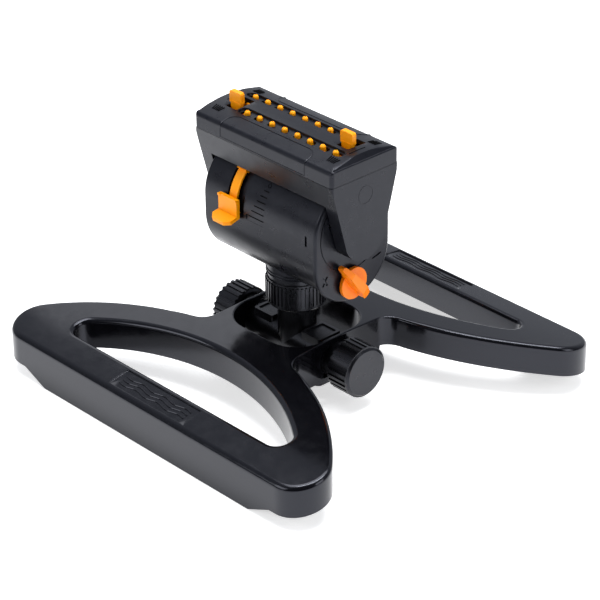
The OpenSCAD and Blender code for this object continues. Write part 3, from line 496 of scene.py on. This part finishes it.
def ridgeLine(bm, points, radius=0.25, sides=6):
    # thin round line that follows the points, half sunk into the surface they lie on
    pts = [Vector(p) for p in points]
    rings = []
    for i, p in enumerate(pts):
        ahead = (pts[min(i + 1, len(pts) - 1)] - pts[max(i - 1, 0)]).normalized()
        side = ahead.cross(Vector((0.31, 0.22, 0.92)))
        if side.length < 0.2:
            side = ahead.cross(Vector((0, 1, 0)))
        side.normalize()
        up = side.cross(ahead)
        rings.append([p + radius * (math.cos(a) * side + math.sin(a) * up)
                      for a in (2 * math.pi * k / sides for k in range(sides))])
    loft(bm, rings)


def panelRings(width, depthY, corner, centre, depth):
    steps = ((0, 0), (0.12, 0.05), (0.3, depth - 0.12), (0.5, depth))
    return {"rings": [(roundRect(width - 2 * d, depthY - 2 * d, corner - d, centre), z) for d, z in steps]}


outerLoop = edgeLoop(baseOutline, outerFillet, base["wall"])
holeLoops = [edgeLoop(baseHole, lambda x, y: base["fillet"], base["wall"], turn) for turn in (False, True)]
wellLoop = edgeLoop(wellOutline, lambda x, y: base["hubFillet"], base["wellWall"])
panels = [panelRings(*base["panel"], (0, s * base["panelY"]), base["panelDepth"]) for s in (-1, 1)]
baseMesh = roofedShell(outerLoop, holeLoops + [wellLoop], archHeight, baseLow, base["wall"],
                       base["gridStep"], panels)
# cross ribs under the outer bars, then the two screw bosses in the hub
for k in range(-2, 3):
    for side in (-1, 1):
        ribOutline = roundRect(*base["ribSize"], (k * base["ribPitch"], side * (edgeY - 10.5)))
        prism(baseMesh, ribOutline, *base["ribHeights"])
for s in (-1, 1):
    bossAt = (s * base["bossAt"][0], s * base["bossAt"][1])
    prism(baseMesh, arcPoints(bossAt, base["bossRadius"], 0, 345, 23), *base["bossHeights"])
finishPiece("sledBase", baseMesh, glossyBlackAbs, "base", ["sled_base"])
print("sled base ready")


# head cap: crowned lid with rounded shoulders, grooves, nozzle slots and finger scoops

cap = {"length": 124, "width": 56, "corner": 2.5, "seamZ": 162.6, "topZ": 177, "crown": 4.5,
       "shoulder": 2.1, "endRound": 1.0, "wall": 2.5, "roof": 3.0, "pitch": 11.3, "rowY": 9.8,
       "rowShift": 7, "grooveRadius": 4, "grooveDepth": 1.4, "slotHalf": 2.3, "ballZ": 163,
       "tiltDeg": 14, "bladeX": 45, "bladeY": 4.6, "bladeSlot": (9.6, 15.5), "scoopLength": 76,
       "scoopBend": 7.5, "scoopTop": 16.6, "scoopFoot": 36.6, "scoopLine": 0.3}
crownRadius = ((cap["width"] / 2) ** 2 + cap["crown"] ** 2) / (2 * cap["crown"])
endX = cap["rowShift"] + 3.5 * cap["pitch"]


def capTop(x, y):
    return cap["topZ"] - crownRadius + math.sqrt(crownRadius ** 2 - y * y)


def rowX(row, i):
    return (i - 3.5) * cap["pitch"] - row * cap["rowShift"]


def tiltOf(x):
    return math.radians(cap["tiltDeg"] * abs(x) / endX)


def capOutline(t):
    corner = cap["corner"] - min(t, cap["corner"] - 0.01)
    return roundRect(cap["length"] - 2 * t, cap["width"] - 2 * t, corner, steps=8)


def evenFillet(x, y):
    # wide along the long edges, tighter at the ends
    alongEnd = min(1, max(0, (abs(x) - cap["length"] / 2 + cap["corner"]) / cap["corner"]))
    return cap["shoulder"] + (cap["endRound"] - cap["shoulder"]) * alongEnd


def nozzleCut(row, i):
    x, y = rowX(row, i), row * cap["rowY"]
    sway = (cap["topZ"] - cap["ballZ"]) * math.tan(tiltOf(x)) + 0.3
    mid = x + math.copysign(sway / 2, x)
    half = cap["slotHalf"]
    return {"points": stadiumPoints(2 * half + sway, half, (mid, y)), "panel": 0 if row < 0 else 1,
            "wide": stadiumPoints(2 * half + sway + 0.4, half + 0.2, (mid, y))}


def grooveRings(row):
    length, r = 7 * cap["pitch"] + 14, cap["grooveRadius"]
    at = (-row * cap["rowShift"], row * cap["rowY"])
    steps = ((0, 0), (0.15, 0.06), (0.3, 0.25), (0.5, cap["grooveDepth"]))
    return {"rings": [(stadiumPoints(length - 2 * d, r - d, at), z) for d, z in steps]}


def bladeCut(side):
    at = (side * cap["bladeX"], side * cap["bladeY"])
    w, d = cap["bladeSlot"]
    return {"points": roundRect(w, d, 0.8, at, 3), "panel": None,
            "wide": roundRect(w + 0.5, d + 0.5, 1.0, at, 3)}


def capSkin(x, along):
    # a point on the front half of the lid, at a distance from its middle line measured over the shoulder
    flat = cap["width"] / 2 - cap["shoulder"]
    turn = min(max(0, along - flat) / cap["shoulder"], math.pi / 2)
    past = max(0, along - flat - cap["shoulder"] * math.pi / 2)
    y = min(along, flat) + cap["shoulder"] * math.sin(turn)
    z = capTop(x, min(along, flat)) - cap["shoulder"] * (1 - math.cos(turn)) - past
    return (x, -y, z)


capLoop = edgeLoop(capOutline, evenFillet, cap["wall"])
capCuts = [nozzleCut(row, i) for row in (-1, 1) for i in range(8)] + [bladeCut(s) for s in (-1, 1)]
capMesh = roofedShell(capLoop, [], capTop, lambda x, y: cap["seamZ"], cap["roof"], 4.0,
                      [grooveRings(-1), grooveRings(1)], capCuts, lip=0.3)
finishPiece("headLid", capMesh, satinCharcoalAbs, "head", ["head_cap"])

# edge lines of the finger scoops, raised by a hair on both long sides
scoopMesh = bmesh.new()
half, bend, reachUp, lowest = cap["scoopLength"] / 2, cap["scoopBend"], cap["scoopTop"], cap["scoopFoot"]
corner = [(-half + bend * (1 - math.cos(a)), reachUp + bend * (1 - math.sin(a)))
          for a in (math.pi / 2 * k / 6 for k in range(7))]
leftSide = [(-half, s) for s in (lowest, 33, 31.4, 30, 28.9, 27.8, 26.7, 25.4)] + corner
frontPath = leftSide + [(x, reachUp) for x in (-20, -10, 0, 10, 20)] + [(-x, s) for x, s in leftSide[::-1]]
for sign in (-1, 1):
    for path in (frontPath, [(x, lowest) for x in (-half, -19, 0, 19, half)]):
        spots = [capSkin(x, s) for x, s in path]
        ridgeLine(scoopMesh, [(x, -sign * y, z) for x, y, z in spots], cap["scoopLine"])
finishPiece("scoopEdges", scoopMesh, satinCharcoalAbs, "head")

# moulded marks by the slots: a row of upright bars for a narrow spray, a fan of bars for a wide one
markMesh = bmesh.new()


def capBar(x0, y0, x1, y1, radius=0.38):
    steps = 4
    line = [(x0 + (x1 - x0) * k / steps, y0 + (y1 - y0) * k / steps) for k in range(steps + 1)]
    ridgeLine(markMesh, [(x, y, capTop(x, y) + 0.02) for x, y in line], radius)


for sx in (-1, 1):
    for k in range(5):
        lean = (k - 2) * 0.5
        x = sx * 51.8 + (k - 2) * 1.35
        capBar(x, -19.6, x + lean, -14.8)      # fan
        capBar(x, 19.4, x, 14.6)               # upright bars
    capBar(sx * 52.6 - 3.0, 20.6, sx * 52.6 + 2.2, 20.6, 0.25)
    capBar(sx * 54.8, -6.5, sx * 54.8, 6.5, 0.28)      # travel line beside each slot
# the lid's marks are drawn in the painted-shade black
finishPiece("headMarks", markMesh, recessShadeBlackAbs, "head")
print("head lid ready")


# drum details: range scale beside the strap slot, and rings on the neck

drum = {"radius": 31.5, "pivotZ": 122, "scaleRight": 4.5, "barRadius": 0.36, "neckRadius": 19.15}


def onDrum(x, fromTopDeg):
    a = math.radians(fromTopDeg)
    return (x, -drum["radius"] * math.sin(a), drum["pivotZ"] + drum["radius"] * math.cos(a))


scaleMesh = bmesh.new()
# bars get longer down the drum; the two long ones at the bottom are joined at their left
bars = ((56, 4.4), (63, 5.8), (70, 7.4), (77, 9.0), (84, 10.8), (91.5, 15.4), (98, 15.4))
for angle, length in bars:
    left = drum["scaleRight"] - length
    ridgeLine(scaleMesh, [onDrum(left + length * k / 3, angle) for k in range(4)], drum["barRadius"])
joinX = drum["scaleRight"] - bars[-1][1]
ridgeLine(scaleMesh, [onDrum(joinX, 91.5 + 6.5 * k / 3) for k in range(4)], drum["barRadius"])
# drop mark above the scale
drop = [(0, 1.9)] + [(1.25 * math.cos(math.radians(a)), 1.25 * math.sin(math.radians(a)))
                     for a in range(25, -206, -23)] + [(0, 1.9)]
ridgeLine(scaleMesh, [onDrum(2.6 + u, 49 - v * 1.8) for u, v in drop], 0.2)
# the scale bars and drop mark are drawn in the painted-shade black
finishPiece("rangeScale", scaleMesh, recessShadeBlackAbs, "base")

neckMesh = bmesh.new()
for z in (76.6, 78.6):
    ring = [(drum["neckRadius"] * math.cos(2 * math.pi * k / 96),
             drum["neckRadius"] * math.sin(2 * math.pi * k / 96), z) for k in range(97)]
    ridgeLine(neckMesh, ring, 0.42, 8)
finishPiece("neckRings", neckMesh, satinCharcoalAbs, "base")

# wave lines moulded in the recessed panels of the base
waveMesh = bmesh.new()
for side in (-1, 1):
    for row in (-3.2, 0, 3.2):
        line = []
        for k in range(61):
            x = -30 + k
            y = side * base["panelY"] + row + 0.8 * math.sin(x / 30 * math.pi * 3)
            line.append((x, y, archHeight(x, y) - base["panelDepth"] + 0.1))
        ridgeLine(waveMesh, line, 0.38)
finishPiece("panelWaves", waveMesh, glossyBlackAbs, "base")
print("moulded details ready")


# floor, light and camera

view = {"camera": (1.0844, -0.9979, 0.8627), "target": (0.0029, 0.0, 0.0541), "lens": 158.9, "rollDeg": -0.6,
        "floorSize": 12.0}
floorBm = bmesh.new()
bmesh.ops.create_grid(floorBm, x_segments=4, y_segments=4, size=view["floorSize"] / 2)
floorMesh = bpy.data.meshes.new("floor")
floorBm.to_mesh(floorMesh)
floorBm.free()
floor = bpy.data.objects.new("floor", floorMesh)
bpy.context.scene.collection.objects.link(floor)
floorPaint = bpy.data.materials.new("matteStudioPaint")  # matte white paint with a very faint mottling
floorPaint.use_nodes = True
floorTree = floorPaint.node_tree
floorTree.nodes.clear()
floorNoise = addNode(floorTree, "ShaderNodeTexNoise", {"Scale": 1 / (40 * mm), "Detail": 3.0})
floorTint = addNode(floorTree, "ShaderNodeMix", {"data_type": "RGBA", 6: toLinear("#EFEFEF"),
                                                7: toLinear("#F6F6F6")}, {0: floorNoise.outputs[0]})
# a faint glow keeps the shadow on the light table pale
floorShader = addNode(floorTree, "ShaderNodeBsdfPrincipled",
                      {"Roughness": 0.9, "Emission Color": (1, 1, 1, 1), "Emission Strength": 0.62},
                      {"Base Color": floorTint.outputs[2]})
addNode(floorTree, "ShaderNodeOutputMaterial", None, {0: floorShader.outputs[0]})
floor.data.materials.append(floorPaint)

scene = bpy.context.scene
world = bpy.data.worlds.new("studio")
world.use_nodes = True
sky = world.node_tree.nodes["Background"]
sky.inputs[0].default_value = (0.86, 0.9, 1.0, 1)
# pale wall behind the part, dark room on the side of the camera
direction = addNode(world.node_tree, "ShaderNodeTexCoord").outputs["Generated"]
toward = addNode(world.node_tree, "ShaderNodeVectorMath",
                 {"operation": "DOT_PRODUCT", 1: (-0.69, 0.64, 0.34)}, {0: direction})
glow = addNode(world.node_tree, "ShaderNodeMapRange", {1: -0.35, 2: 0.75, 3: 0.1, 4: 0.56},
               {0: toward.outputs[1]})
world.node_tree.links.new(glow.outputs[0], sky.inputs[1])
scene.world = world
scene.view_settings.view_transform = "Standard"


def areaLight(name, place, aim, width, height, watts):
    data = bpy.data.lights.new(name, "AREA")
    data.shape = "RECTANGLE"
    data.size, data.size_y, data.energy = width, height, watts
    lamp = bpy.data.objects.new(name, data)
    scene.collection.objects.link(lamp)
    lamp.location = place
    lamp.rotation_euler = (Vector(aim) - Vector(place)).to_track_quat("-Z", "Y").to_euler()


areaLight("topSoftbox", (-0.1, 0.15, 1.3), (0, 0, 0.1), 1.2, 1.0, 16)
areaLight("rightSoftbox", (1.3, 0.3, 0.7), (0, 0, 0.12), 0.7, 0.9, 5.8)
areaLight("leftSoftbox", (-0.5, -1.4, 0.8), (0, 0, 0.1), 0.9, 0.7, 6.6)
areaLight("backLeftPanel", (-1.28, 0.7, 0.86), (0, 0, 0.1), 0.5, 0.6, 1.0)
areaLight("topStrip", (0.05, 0.1, 1.35), (0, 0, 0.1), 0.1, 1.0, 8)

cameraData = bpy.data.cameras.new("camera")
cameraData.lens = view["lens"]
cameraData.sensor_width = 36
camera = bpy.data.objects.new("camera", cameraData)
scene.collection.objects.link(camera)
camera.location = view["camera"]
look = (Vector(view["target"]) - Vector(view["camera"])).to_track_quat("-Z", "Y").to_matrix().to_4x4()
camera.rotation_euler = (look @ Matrix.Rotation(math.radians(view["rollDeg"]), 4, "Z")).to_euler()
scene.camera = camera
print("stage ready")
